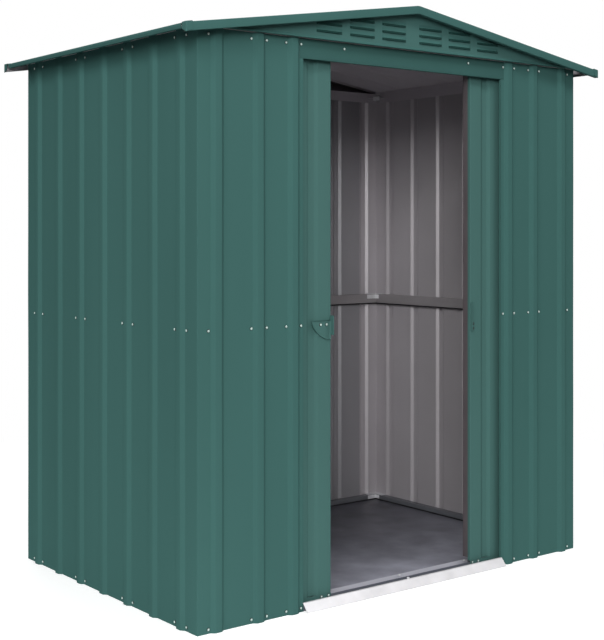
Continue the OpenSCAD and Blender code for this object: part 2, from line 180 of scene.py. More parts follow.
def coated(name, colour, spread, roughness, cloud=3.0, streak=UPRIGHT, metallic=0.0, gloss=0.5):
    """Coated or bare sheet: soft clouds of colour and roughness, and a fine grain in relief.

    cloud is the scale of the clouds and streak how they stretch along each axis."""
    made, tree, shader = material(name)
    clouds = noise(tree, cloud, 3, streak)
    low = [c * (1 - spread) for c in colour]
    high = [c * (1 + spread) for c in colour]
    tree.links.new(ramp(tree, clouds, low, high), shader.inputs["Base Color"])
    tree.links.new(level(tree, clouds, roughness * SMOOTHER, roughness * ROUGHER),
                   shader.inputs["Roughness"])
    tree.links.new(bump(tree, noise(tree, GRAIN, 2), GRAIN_DEPTH), shader.inputs["Normal"])
    shader.inputs["Metallic"].default_value = metallic
    shader.inputs["Specular IOR Level"].default_value = gloss
    return made


def graded(name, first, last, start, stop, spread=0.03, roughness=0.5, cloud=7.0, metallic=0.0,
           gloss=0.5):
    """Sheet whose colour runs from first to last as Y runs from start to stop, in soft clouds."""
    made, tree, shader = material(name)
    where = tree.nodes.new("ShaderNodeTexCoord")
    parts = tree.nodes.new("ShaderNodeSeparateXYZ")
    place = tree.nodes.new("ShaderNodeMapRange")
    place.inputs["From Min"].default_value = start
    place.inputs["From Max"].default_value = stop
    cloudy = tree.nodes.new("ShaderNodeVectorMath")
    cloudy.operation = "SCALE"
    tree.links.new(where.outputs["Object"], parts.inputs["Vector"])
    tree.links.new(parts.outputs["Y"], place.inputs["Value"])
    tree.links.new(ramp(tree, place.outputs["Result"], first, last, 0, 1), cloudy.inputs[0])
    tree.links.new(level(tree, noise(tree, cloud, 4), 1 - spread, 1 + spread),
                   cloudy.inputs["Scale"])
    tree.links.new(cloudy.outputs[0], shader.inputs["Base Color"])
    shader.inputs["Roughness"].default_value = roughness
    shader.inputs["Metallic"].default_value = metallic
    shader.inputs["Specular IOR Level"].default_value = gloss
    return made


# Finishes: a colour, how far it varies, and its roughness. A graded one has two colours, and the
# Y where it leaves the first and where it reaches the second
GREEN = np.array([0.0545, 0.138, 0.127])
# The doors' green is made lighter than the walls' as painted light on the recessed doors
DOOR_LIGHT = np.array([1.24, 1.12, 1.12])
# The header's green is made darker than the walls' as painted shade under the gable's overhang
HEADER_SHADE = 0.82
GREY = (0.20, 0.18, 0.19)
green = coated("green_paint", GREEN, 0.04, 0.5, gloss=0.0)
# Door paint: the walls' green lightened as painted light
door_lit_green = coated("painted_light_door", GREEN * DOOR_LIGHT, 0.04, 0.5, gloss=0.0)
# Header paint: the walls' green darkened as painted shade
header_shaded_green = coated("painted_shade_header", GREEN * HEADER_SHADE, 0.04, 0.5, gloss=0.0)
# Near-black green for the painted shadow in the louvre slots
slot_shadow = coated("slot_shadow", (0.009, 0.040, 0.035), 0.1, 0.7, gloss=0.1)
# Inside primer, darker towards the doorway and lighter towards the back: painted shade near the
# doors
inner = graded("primer_painted_shade_near_door", (0.42, 0.395, 0.40), (0.58, 0.55, 0.575), -0.50, 0.40, 0.05, 0.38,
               cloud=3.0, metallic=0.3)
# The back wall's inside is a darker copy of the primer: painted shade
back_wall_shaded_primer = coated("back_wall_primer_painted_shade", (0.36, 0.355, 0.375), 0.05, 0.38, metallic=0.3)
roof_inner = coated("roof_primer", (0.64, 0.60, 0.64), 0.05, 0.5)
sheared = coated("sheared_edge", (0.10, 0.16, 0.15), 0.1, 0.5)
galvanised = coated("galvanised_steel", (0.50, 0.50, 0.53), 0.12, 0.4, cloud=18, streak=ROUND,
                    metallic=0.3)
rail_steel = coated("rail_steel", (0.33, 0.31, 0.32), 0.08, 0.5, cloud=9, streak=ROUND)
base_steel = coated("base_steel", (0.140, 0.146, 0.162), 0.08, 0.5, cloud=9, streak=ROUND)
# The door stiles' steel is far darker than the rails': painted shade on the stiles
stile_painted_shade = coated("stile_painted_shade", (0.095, 0.082, 0.088), 0.08, 0.5, cloud=9, streak=ROUND)
ramp_steel = coated("ramp_steel", (0.68, 0.67, 0.69), 0.08, 0.4, cloud=14, streak=ROUND,
                    metallic=0.2)
bright_zinc = coated("bright_zinc", (0.70, 0.71, 0.73), 0.08, 0.3, cloud=30, streak=ROUND,
                     metallic=0.5)
# Floor lighter near the doorway and darker towards the back: painted light from the doorway,
# painted shade behind
floor_steel = graded("floor_steel", (0.33, 0.337, 0.40), (0.094, 0.096, 0.117), -0.60, 0.40, 0.24)
# The threshold track is dark at its front as painted shade in front of the raised fin, and light
# behind
track_painted_shade = graded("track_painted_shade", (0.125, 0.135, 0.165), (0.52, 0.52, 0.58), -0.554, -0.546)

# The gables are painted outside and grey inside: the colour turns within the sheet's thickness
gable_outer = gable_face + 0.4 * SHEET
gable_inner = gable_face + 0.6 * SHEET
front_paint = graded("front_gable_paint", GREEN, GREY, gable_outer, gable_inner, gloss=0.1)
back_paint = graded("back_gable_paint", GREY, GREEN, -gable_inner, -gable_outer, gloss=0.1)

# Small fittings
tab_zinc = coated("tab_zinc", (0.88, 0.88, 0.90), 0.06, 0.3, cloud=30, streak=ROUND, metallic=0.4)
nylon = coated("black_nylon", (0.014, 0.014, 0.015), 0.2, 0.5, cloud=40, streak=ROUND)
head_paint = coated("screw_head", (0.52, 0.66, 0.62), 0.08, 0.35, cloud=60, streak=ROUND,
                    metallic=0.2)
washer_rubber = coated("washer_rubber", (0.012, 0.030, 0.028), 0.2, 0.7, cloud=60, streak=ROUND)


# ---------------------------------------------------------------- surfaces

BEND_STEPS = 4
LONGEST_BEND = 0.45


def rounded(points, radius):
    """Outline with each corner c turned into a parabola between c - La and c + Lb.

    a and b are the unit directions before and after the corner, and L is the radius times
    the tangent of half the turn, kept under a set share of the shorter side."""
    points = np.asarray(points, float)
    side = np.diff(points, axis=0)
    length = np.linalg.norm(side, axis=1)
    before = side[:-1] / length[:-1, None]
    after = side[1:] / length[1:, None]
    turn = np.arccos(np.clip((before * after).sum(1), -1, 1))
    longest = LONGEST_BEND * np.minimum(length[:-1], length[1:])
    reach = np.minimum(radius * np.tan(turn / 2), longest)[:, None]
    corner = points[1:-1, None]
    start = corner - (reach * before)[:, None]
    stop = corner + (reach * after)[:, None]
    t = np.linspace(0, 1, BEND_STEPS + 1)[None, :, None]
    bend = (1 - t) ** 2 * start + 2 * t * (1 - t) * corner + t ** 2 * stop
    return np.vstack([points[:1], bend.reshape(-1, 2), points[-1:]])


def travelled(points):
    """Distance along an outline at each of its points."""
    return np.concatenate([[0], np.cumsum(np.linalg.norm(np.diff(points, axis=0), axis=1))])


def filled(points, gap):
    """Outline with points added along it at about the gap, where none is close by already."""
    along = travelled(points)
    extra = np.linspace(0, along[-1], int(along[-1] / gap) + 2)
    near = np.abs(extra[:, None] - along[None]).min(1)
    every = np.sort(np.concatenate([along, extra[near > gap / 3]]))
    return np.stack([np.interp(every, along, points[:, i]) for i in (0, 1)], 1)


def sideways(points, distance):
    """Outline moved along its left-hand normal, the quarter turn of its direction."""
    direction = np.gradient(points, axis=0)
    direction /= np.linalg.norm(direction, axis=1)[:, None]
    return points + distance * np.stack([-direction[:, 1], direction[:, 0]], 1)


def shell(outer, inner_side):
    """Closed sheet between two grids of points: its faces, and 0, 1 or 2 for each one.

    0 marks the outer grid, 1 the inner grid and 2 the rim that joins them. All faces are turned
    over together if the outer grid would face inward."""
    rows, columns = outer.shape[:2]
    count = rows * columns
    grid = np.arange(count).reshape(rows, columns)
    top = np.stack([grid[:-1, :-1], grid[1:, :-1], grid[1:, 1:], grid[:-1, 1:]], -1).reshape(-1, 4)
    rim = np.concatenate([grid[:-1, 0], grid[-1, :-1], grid[:0:-1, -1], grid[0, :0:-1]])
    after = np.roll(rim, -1)
    edge = np.stack([after, rim, rim + count, after + count], -1)
    points = np.concatenate([outer.reshape(-1, 3), inner_side.reshape(-1, 3)])
    faces = np.concatenate([top, (top + count)[:, ::-1], edge])
    tags = np.repeat([0, 1, 2], [len(top), len(top), len(edge)])
    a, b, c = (points[top[:, i]] for i in (0, 1, 2))
    facing = np.cross(b - a, c - a)
    if (facing * (a - points[top[:, 0] + count])).sum() < 0:
        faces = faces[:, ::-1]
    return points, faces, tags


def joined(parts):
    """Several surfaces as one, with their points numbered on from each other."""
    starts = np.cumsum([0] + [len(part[0]) for part in parts])
    return (np.concatenate([part[0] for part in parts]),
            np.concatenate([part[1] + start for part, start in zip(parts, starts)]),
            np.concatenate([part[2] for part in parts]))


def mirrored(part, axis=0):
    """The same surface on the other side of the middle plane."""
    points = part[0].copy()
    points[:, axis] *= -1
    return points, part[1][:, ::-1], part[2]


def piece(name, part, finishes, body="shed", instead=(), sharp=38):
    """Object from a surface, with a finish for each tag, riding on a body.

    instead lists the CAD nodes that it stands for, and sharp is the least angle, in degrees,
    that stays a crisp edge."""
    points, faces, tags = part
    mesh = bpy.data.meshes.new(name)
    mesh.from_pydata(points.tolist(), [], faces.tolist())
    for finish in finishes:
        mesh.materials.append(finish)
    finish_index = np.minimum(tags, len(finishes) - 1).astype(np.int32)
    mesh.polygons.foreach_set("material_index", finish_index)
    mesh.polygons.foreach_set("use_smooth", np.ones(len(faces), bool))
    mesh.set_sharp_from_angle(angle=math.radians(sharp))
    made = bpy.data.objects.new(name, mesh)
    bpy.context.scene.collection.objects.link(made)
    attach(made, body)
    if instead:
        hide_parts(*instead)


def refinish(names, finish):
    """CAD nodes whose shape is right, given a better finish."""
    for name in names:
        nodes[name].data.materials.clear()
        nodes[name].data.materials.append(finish)


def ribbed(start, stop, ribs, rise):
    """Points (along, outward) of one run of sheet, with a trapezoid at each rib inside it."""
    places = np.array([rib for rib in ribs if start < rib < stop])
    trapezoid = np.array([[-RIB_BASE / 2, 0], [-RIB_CROWN / 2, rise],
                          [RIB_CROWN / 2, rise], [RIB_BASE / 2, 0]])
    along = places[:, None, None] * [1, 0] + trapezoid
    return np.vstack([[[start, 0]], along.reshape(-1, 2), [[stop, 0]]])


def on_front(run):
    """A run of sheet placed in plan on the front wall, from left to right."""
    return run * [1, -1] + [0, -half_d]


def on_back(run):
    """A run of sheet placed in plan on the back wall, from right to left."""
    return run * [-1, 1] + [0, half_d]


def on_left(run):
    """A run of sheet placed in plan on the left wall, from back to front."""
    return (run * [-1, -1] + [0, -half_w])[:, ::-1]


def roof_z(x, lift):
    """Height of a roof layer over x, level with the slope and softly rounded at the ridge."""
    return roof_start + (half_w - np.sqrt(x * x + RIDGE_SOFTNESS ** 2)) * SLOPE + lift


def over_roof(y, lift, x):
    """Outline of Y and height over the roof's flat, carried along X up and down the slopes."""
    return x, y, roof_z(x, lift)


def across(y, z, x):
    """Outline of Y and Z, carried along X."""
    return x, y, z


def lengthwise(x, z, y):
    """Outline of X and Z, carried along Y."""
    return x, y, z


def up(x, y, z):
    """Plan outline, carried up."""
    return x, y, z


def swept(path, stations, place, thickness=SHEET):
    """Closed sheet: an outline, and the same moved sideways, carried along the stations.

    place turns the outline's two coordinates and a station into a point."""
    grids = []
    for line in (path, sideways(path, thickness)):
        first, second, station = np.broadcast_arrays(line[:, None, 0], line[:, None, 1],
                                                     np.asarray(stations)[None])
        grids.append(np.stack(place(first, second, station), -1))
    return shell(*grids)


# Waves of an upright sheet: the share of each, and its turn per metre up, along, and of the
# place in X and Y where the sheet starts
SHEET_ROWS = 36
WAVE_DEPTH = 0.00035
WAVES = ((1.0, 6.1, 9.0, 31, 0), (0.8, 3.7, -14.0, 0, 17), (0.5, 13.0, 4.0, 0, 0))


def upright(path, z_low, z_high):
    """Closed upright sheet: a plan outline carried straight up.

    Thin sheet is never dead flat, so both its faces lean out by a sum of long sine waves that
    dies away at the sheet's ends."""
    z = np.linspace(z_low, z_high, SHEET_ROWS)
    edge = sideways(path, SHEET)
    along = travelled(path)[:, None]
    fade = np.sin(math.pi * (z - z_low) / (z_high - z_low)) * np.sin(math.pi * along / along[-1])
    lean = WAVE_DEPTH * fade * sum(
        share * np.sin(rise * z + run * along + start_x * path[0, 0] + start_y * path[0, 1])
        for share, rise, run, start_x, start_y in WAVES)
    outward = (path - edge) / SHEET
    grids = []
    for line in (path, edge):
        flat = line[:, None] + outward[:, None] * lean[..., None]
        grids.append(np.concatenate([flat, np.broadcast_to(z[None, :, None],
                                                           (*lean.shape, 1))], -1))
    return shell(*grids)


def folded(points, radius=FOLD_BEND, gap=0.02):
    """Outline of folded sheet: its corners rounded, and points added along its flats."""
    return filled(rounded(points, radius), gap)


RAIL_STATIONS = 12


def rail(name, corners, along, body="shed", finish=rail_steel):
    """Channel with round folds in the place of a CAD rail.

    corners lists the corners of its section in order, as (0 or 1 across, 0 or 1 up), and the
    open side lies between the last and the first; along is the axis that the rail runs on."""
    low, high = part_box(name)
    width = (low[1 - along], high[1 - along])
    height = (low.z, high.z)
    points = np.array([(width[i], height[j]) for i, j in corners])
    first, second = np.diff(points, axis=0)[:2]
    turn = math.copysign(1, first[0] * second[1] - first[1] * second[0])
    stations = np.linspace(low[along], high[along], RAIL_STATIONS)
    part = swept(folded(points), stations, (across, lengthwise)[along], turn * RAIL)
    piece(name + "_folded", part, [finish], body, [name])


# ---------------------------------------------------------------- walls

# Finishes outside, inside and at the cut edges, and the edge that turns in at each jamb: its
# depth, and its foot above the threshold
SKIN = (green, inner, sheared)
BACK_SKIN = (green, back_wall_shaded_primer, sheared)
JAMB_RETURN = 0.008
RETURN_LOW = 0.031


def wall_path(first, *second):
    """Plan outline of a wall sheet: soft bends at the ribs, and a tight one where two runs meet."""
    points = np.vstack([first, *[run[1:] for run in second]])
    bends = np.full(len(points) - 2, RIB_BEND)
    if second:
        bends[len(first) - 2] = FOLD_BEND
    return folded(points, bends, FLAT_GAP)


def wall(path):
    """Wall sheet over a plan outline, as high as the walls."""
    return upright(path, 0, wall_top)


def pair(name, part, left, right, finishes=SKIN):
    """A piece in the place of a left CAD node, and its mirror image in that of the right one."""
    piece(name + "_left", part, finishes, instead=[left])
    piece(name + "_right", mirrored(part), finishes, instead=[right])


jamb_edge = np.array([(-jamb, -half_d + HAIR), (-jamb, -half_d + JAMB_RETURN)])
front_corner = wall_path(on_left(ribbed(-side_seams[0], half_d, -side_ribs, RIB_RISE)),
                         on_front(ribbed(-half_w, -jamb, front_ribs, RIB_RISE)))
pair("front_corner_sheet",
     joined([wall(front_corner), swept(jamb_edge, [RETURN_LOW, header_low.z], up)]),
     "corner_sheet_front_left", "corner_sheet_front_right")
back_corner = wall_path(on_back(ribbed(-back_seams[0], half_w, np.sort(-back_ribs), RIB_RISE)),
                        on_left(ribbed(-half_d, -side_seams[3], np.sort(-side_ribs), RIB_RISE)))
pair("back_corner_sheet", wall(back_corner), "corner_sheet_back_left", "corner_sheet_back_right")
for i in (1, 2, 3):
    side_run = ribbed(-side_seams[i], -side_seams[i - 1], np.sort(-side_ribs), RIB_RISE)
    pair(f"side_sheet_{i}", wall(wall_path(on_left(side_run))),
         f"left_wall_sheet_{i}", f"right_wall_sheet_{i}")
    back_run = ribbed(-back_seams[i], -back_seams[i - 1], np.sort(-back_ribs), RIB_RISE)
    piece(f"back_sheet_{i}", wall(wall_path(on_back(back_run))), BACK_SKIN,
          instead=[f"back_wall_sheet_{i}"])


# ---------------------------------------------------------------- header and gables

# The header's lower lip ends just inside each jamb, over a short step
HEADER_STATIONS = 40
LIP_STEP = 0.0001
lip_end = jamb - SHEET


def header_place(y, z, x):
    """Along X, with the lower lip drawn back into the face beyond the jambs."""
    return x, np.where(np.abs(x) < lip_end + LIP_STEP / 2, y, np.minimum(y, -half_d)), z


header_stations = np.sort(np.concatenate([
    np.linspace(header_low.x, header_high.x, HEADER_STATIONS),
    np.array([-1, 1]) * lip_end,
    np.array([-1, 1]) * (lip_end + LIP_STEP)]))
header_path = folded([(header_low.y, header_high.z), (header_low.y, header_low.z),
                      (header_high.y, header_low.z)])
piece("header_folded", swept(header_path, header_stations, header_place),
      (header_shaded_green, inner, sheared), instead=["header"])

# Louvres stand in rows, each with so many on either side of the middle
LOUVRE_ROWS = (3, 3, 2)
LOUVRE_PITCH = 0.147
LOUVRE_FIRST = 0.6
LOUVRE_BASE = 0.028
LOUVRE_ROW_RISE = 0.0255
louvres = [(side * (LOUVRE_FIRST + i) * LOUVRE_PITCH,
            wall_top + LOUVRE_BASE + row * LOUVRE_ROW_RISE)
           for row, count in enumerate(LOUVRE_ROWS) for i in range(count) for side in (-1, 1)]

# A hood over a dark lens at each louvre, the lens being painted shadow in the slot: their profiles
# are (up, out) from the slot's middle
HOOD_HALF = 0.056
HOOD = np.array([(0.0140, 0), (0.0095, 0.0014), (0.0055, 0.0034), (0.0030, 0.0050)])
PAINTED_SLOT_SHADOW = np.array([(0.0030, 0.0050), (0.0026, 0.0044), (-0.0034, 0.0046), (-0.0042, 0)])
PRESSING_STATIONS = 17


def pressed(x, z, profile, tag):
    """Louvre hood, and the lens of painted shadow under it: a profile carried along s, from -1 to
    1.

    The profile stands out by its own measure times (1 - s to the twelfth)."""
    s = np.linspace(-1, 1, PRESSING_STATIONS)[:, None]
    out = profile[None, :, 1] * (1 - s ** 12)
    along = np.broadcast_to(x + HOOD_HALF * s, out.shape)
    height = np.broadcast_to(z + profile[None, :, 0], out.shape)
    face = np.stack([along, gable_face - HAIR - out, height], -1)
    back = np.stack([along, np.full_like(out, gable_face + SEAT), height], -1)
    points, faces, tags = shell(face, back)
    return points, faces, np.full_like(tags, tag)


# Drip edge at the foot of the gable: (out, up) from the gable's face and the top of the wall
DRIP = np.array([(-0.0005, 0.0105), (0.0036, 0.0035), (0.0036, -0.0004), (-0.006, -0.0004)])
DRIP_STATIONS = 30
DRIP_SHEET = 0.0008
drip_path = folded(DRIP * [-1, 1] + [gable_face, wall_top], radius=0.002, gap=0.01)
drip = swept(drip_path, np.linspace(-half_w, half_w, DRIP_STATIONS), across, DRIP_SHEET)
hood_and_shadow_lenses = [pressed(*place, *shape) for place in louvres for shape in ((HOOD, 0), (PAINTED_SLOT_SHADOW, 1))]
gable_trim = joined(hood_and_shadow_lenses + [(drip[0], drip[1], np.zeros_like(drip[2]))])
# Green hoods and drip edge, with the dark lenses under the hoods as painted slot shadow
piece("front_gable_trim_and_slot_shadows", gable_trim, [green, slot_shadow])
piece("back_gable_trim_and_slot_shadows", mirrored(gable_trim, 1), [green, slot_shadow])


# ---------------------------------------------------------------- roof

ROOF_STATIONS = 24
sheet_edge = roof_half - SEAT - (SHEET + ROOF_RIB_RISE) * math.sin(PITCH)
roof_run = ribbed(roof_front + SEAT, roof_back - SEAT, roof_ribs, ROOF_RIB_RISE)
roof_top = sideways(folded(roof_run, RIB_BEND, FLAT_GAP), SHEET)
roof_left = swept(roof_top, np.linspace(-sheet_edge, -SEAT, ROOF_STATIONS), over_roof, -SHEET)
pair("ribbed_roof", roof_left, "roof_sheet_left", "roof_sheet_right",
     (green, roof_inner, sheared))

# Ridge cap, and the length of the ridge and eave trims between the verges
RIDGE_HALF = 0.095
RIDGE_STEPS = 33
TRIM_INSET = 0.030
TRIM_STATIONS = 20
ridge_x = np.linspace(-RIDGE_HALF, RIDGE_HALF, RIDGE_STEPS)
ridge_line = np.stack([ridge_x, roof_z(ridge_x, TRIM_TOP)], 1)
trim_y = np.linspace(roof_front + TRIM_INSET, roof_back - TRIM_INSET, TRIM_STATIONS)
piece("ridge_cap_folded", swept(ridge_line, trim_y, lengthwise, -SHEET), SKIN,
      instead=["ridge_cap"])

# Eave trim: over the sheet, down the edge by the drop, and back under by the return
EAVE_COVER = 0.030
EAVE_DROP = 0.007
EAVE_LEAN = 0.003
EAVE_RETURN = 0.012
eave_x = -roof_half - SHEET
eave_top = float(roof_z(eave_x, TRIM_TOP))
eave_path = folded([(-roof_half + EAVE_COVER, float(roof_z(roof_half - EAVE_COVER, TRIM_TOP))),
                    (eave_x, eave_top), (eave_x, eave_top - EAVE_DROP),
                    (eave_x + EAVE_LEAN, eave_low.z), (-roof_half + EAVE_RETURN, eave_low.z)],
                   radius=[0.003, 0.002, 0.0015], gap=0.006)
pair("eave_trim_folded", swept(eave_path, trim_y, lengthwise), "eave_trim_left",
     "eave_trim_right")

# Verge trim: over the sheet, down by the drop, and back under by the return
VERGE_COVER = 0.028
VERGE_DROP = 0.029
VERGE_RETURN = 0.013
VERGE_STATIONS = 48
RIDGE_STATIONS = (-0.012, -0.008, -0.005, -0.002, 0.002, 0.005, 0.008, 0.012)
verge_y = front_verge[0].y
verge_low = TRIM_TOP - VERGE_DROP
verge_path = folded([(roof_front + VERGE_COVER, TRIM_TOP), (verge_y, TRIM_TOP),
                     (verge_y, verge_low), (roof_front + VERGE_RETURN, verge_low)],
                    radius=[0.0035, 0.0025], gap=0.008)
verge_x = np.sort(np.concatenate([
    np.linspace(-roof_half - SHEET, roof_half + SHEET, VERGE_STATIONS), RIDGE_STATIONS]))
piece("front_verge_folded", swept(verge_path, verge_x, over_roof), SKIN,
      instead=["front_verge_trim"])
back_path = verge_path * [-1, 1] + [roof_front + roof_back, 0]
piece("back_verge_folded", swept(back_path, verge_x, over_roof, -SHEET), SKIN,
      instead=["back_verge_trim"])

# Corner caps: the lower edge rises by a share of the way from the corner, the side has rows at
# shares of its height, and the top has rows at shares of the way to the cap's inner point
CAP_SIZE = 0.024
CAP_WALL = 0.0015
CAP_HEIGHT = 0.002
CAP_LIFT = TRIM_TOP + SEAT + CAP_HEIGHT
CAP_SHOULDER = 0.0012
CAP_SLANT = 0.45
CAP_SIDE = (0, 0.35, 0.7, 1)
CAP_TOP = (0.06, 0.5, 0.97)


def corner_cap(corner_y, turn):
    """Moulded cap on the left corner at corner_y, where turn is the way to the roof's middle.

    A plan outline round the corner is carried up, then in over the top."""
    left = -cap_high.x
    points = [(left, corner_y + turn * CAP_SIZE), (left, corner_y), (left + CAP_SIZE, corner_y)]
    plan = folded(points, radius=0.004, gap=0.003)
    middle = np.array([left + CAP_SIZE, corner_y + turn * CAP_SIZE])
    low = cap_low.z + CAP_SLANT * np.linalg.norm(plan - [left, corner_y], axis=1)
    grids = []
    for inset in (0, CAP_WALL):
        line = sideways(plan, turn * inset)
        high = roof_z(line[:, 0], CAP_LIFT - inset) - CAP_SHOULDER
        rows = [np.column_stack([line, low + rise * (high - low)]) for rise in CAP_SIDE]
        for reach in CAP_TOP:
            over = line + reach * (middle - line)
            rows.append(np.column_stack([over, roof_z(over[:, 0], CAP_LIFT - inset)]))
        grids.append(np.stack(rows, 1))
    return shell(*grids)


caps = [corner_cap(cap_low.y, 1), corner_cap(cap_high.y, -1)]
caps = joined(caps + [mirrored(cap) for cap in caps])
piece("corner_caps_moulded", caps, [green], instead=["roof_corner_caps"])


# ---------------------------------------------------------------- rails and doors

# Corners of a rail's section, as rail() reads them
OPEN_DOWN = [(0, 0), (0, 1), (1, 1), (1, 0)]
OPEN_LOW = [(0, 0), (1, 0), (1, 1), (0, 1)]
OPEN_HIGH = [(1, 0), (0, 0), (0, 1), (1, 1)]
for side, along in (("left", 1), ("right", 1), ("back", 0)):
    rail(f"base_rail_{side}", OPEN_DOWN, along, finish=base_steel)
rail("mid_rail_left", OPEN_LOW, 1)
rail("mid_rail_right", OPEN_HIGH, 1)
rail("mid_rail_back", OPEN_HIGH, 0)
rail("front_strap_left", OPEN_LOW, 0)
rail("front_strap_right", OPEN_LOW, 0)

# Bright tabs at the inner corners: the corner they fold round, how far each runs along the back
# and along the side, and the heights it stands between
TAB = 0.0015
base_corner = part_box("floor_panel")[1]
mid_corner = np.array([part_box("mid_rail_right")[0].x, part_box("mid_rail_back")[0].y])
TABS = ((base_corner, 0.048, 0.026, 0.010, 0.027),
        (mid_corner, 0.055, 0.020, 0.953, 0.972),
        (base_corner, 0.015, 0.028, 1.888, 1.908))

# Black strips painted as the shadow lines along the rails: the corner they turn at, the front end,
# and the heights each stands between
STRIP = 0.002
PAINTED_SHADOW_LINES = ((base_corner, -0.515, 0.0052, 0.0105),
          (mid_corner + STRIP, -0.50, 0.9275, 0.9328))


def corner_tab(corner, back, side, z_low, z_high):
    """Plate folded round the inner corner of two rails, carried up between two heights."""
    x, y = corner[0], corner[1]
    path = folded([(x - back, y), (x, y), (x, y - side)], radius=0.001, gap=0.01)
    return swept(path, np.linspace(z_low, z_high, 3), up, -TAB)


def shadow_line_strip(corner, front, z_low, z_high):
    """Black strip, a painted shadow line, round the left, back and right sides of the room."""
    x, y = corner[0], corner[1]
    path = folded([(-x, front), (-x, y), (x, y), (x, front)], radius=0.002, gap=0.1)
    return swept(path, [z_low, z_high], up, -STRIP)


tabs = [corner_tab(*row) for row in TABS]
piece("corner_tabs", joined(tabs + [mirrored(tab) for tab in tabs]), [tab_zinc])
# Painted shadow: black strips along the base rails' foot and under the mid rails
piece("painted_shadow_strips", joined([shadow_line_strip(*row) for row in PAINTED_SHADOW_LINES]), [nylon])

# The right door's skin is a grooved sheet with folded edges over a plain apron at its foot, and
# the left door is its mirror image
face_y = door_low.y
face_run = ribbed(door_low.x, door_high.x, door_grooves, GROOVE_DEPTH) + [0, face_y]
door_outline = np.vstack([[(door_low.x, face_y + DOOR_EDGE)], face_run,
                          [(door_high.x, face_y + DOOR_EDGE)]])
bends = np.full(len(door_outline) - 2, RIB_BEND)
bends[[0, -1]] = FOLD_BEND
door_skin = upright(folded(door_outline, bends, FLAT_GAP), door_low.z + DOOR_APRON, door_high.z)
apron_line = filled(np.array([(door_low.x, face_y), (door_high.x, face_y)]), FLAT_GAP)
apron = swept(apron_line, [door_low.z, door_low.z + DOOR_APRON + APRON_LAP], up)
door_right = joined([door_skin, apron])


def stile(edge, turn):
    """Channel up one edge of the door, open towards the door's middle."""
    front = face_y + SHEET
    inward = edge + turn * STILE_WIDTH
    points = [(inward, front), (edge, front), (edge, door_back), (inward, door_back)]
    return swept(folded(points), [door_low.z + STILE_WIDTH, door_high.z], up, -turn * RAIL)


stiles_right = joined([stile(door_low.x + SHEET, 1), stile(door_high.x - SHEET, -1)])
for side, place in (("left", mirrored), ("right", tuple)):
    body = f"{side}_door"
    piece(f"{side}_door_skin", place(door_right), (door_lit_green, inner, sheared), body,
          [f"{side}_door_sheet"])
    piece(f"{side}_door_channels", place(stiles_right), [stile_painted_shade], body,
          [f"{side}_door_stiles"])
    for level_name in ("top", "mid", "bottom"):
        rail(f"{side}_door_{level_name}_rail", OPEN_HIGH, 0, body)

# Left pull: a plate under a level edge and inside a circle, with a rim raised round it, and a
# grip folded along the door's edge
PULL_RADIUS = 0.088
PULL_CENTRE = 0.022
PULL_PLATE = 0.002
RIM_RISE = 0.003
RIM_WIDTH = 0.0024
GRIP_LIP = 0.0035
GRIP_SHEET = 0.0018
GRIP_HEIGHT = 0.066
GRIP_SEAT = 0.0005
PULL_DOWN = np.concatenate([np.linspace(0, 0.05, 5), np.linspace(0.1, 0.9, 12),
                            np.linspace(0.93, 0.997, 5)])
PULL_ACROSS = np.concatenate([np.linspace(0, 0.08, 6), np.linspace(0.15, 0.88, 11),
                              np.linspace(0.91, 1, 7)])
pull_top = pull_low.z + PULL_RADIUS - PULL_CENTRE


def pull_plate():
    """Dished plate on a grid of shares across and down.

    It rises over the plate by the rim's rise times exp(-(d / rim width) squared) at a
    distance d from its edge."""
    down = PULL_DOWN[None] * (PULL_RADIUS - PULL_CENTRE)
    widest = np.sqrt(PULL_RADIUS ** 2 - (down + PULL_CENTRE) ** 2)
    wide = PULL_ACROSS[:, None] * widest
    down = np.broadcast_to(down, wide.shape)
    edge = np.minimum.reduce([down, wide, PULL_RADIUS - np.hypot(wide, down + PULL_CENTRE)])
    rise = PULL_PLATE + RIM_RISE * np.exp(-(edge / RIM_WIDTH) ** 2)
    x = pull_high.x - wide
    z = pull_top - down
    return shell(np.stack([x, face_y - rise, z], -1),
                 np.stack([x, np.full_like(x, face_y + HAIR), z], -1))


grip_y = pull_low.y + GRIP_SEAT
grip_line = folded([(pull_high.x - GRIP_LIP, grip_y), (pull_high.x, grip_y),
                    (pull_high.x, face_y)], radius=0.002, gap=0.003)
grip_z = np.linspace(pull_high.z - GRIP_HEIGHT, pull_high.z, 8)
piece("left_pull_dished", joined([pull_plate(), swept(grip_line, grip_z, up, -GRIP_SHEET)]),
      [door_lit_green], "left_door", ["left_door_pull"])


# ---------------------------------------------------------------- screws

# A screw's square grid has rings at these shares of its radius, raised by these heights; the
# crown is the height at its middle, and the seat how far its back is sunk
RINGS = (0.28, 0.70, 1)
RING_RISE = (0.0040, 0.0024, 0.0008)
CROWN_RISE = 0.0042
HEAD_RADIUS = 0.0058
HEAD_SEAT = 0.0004
FACING_UP = 0.7


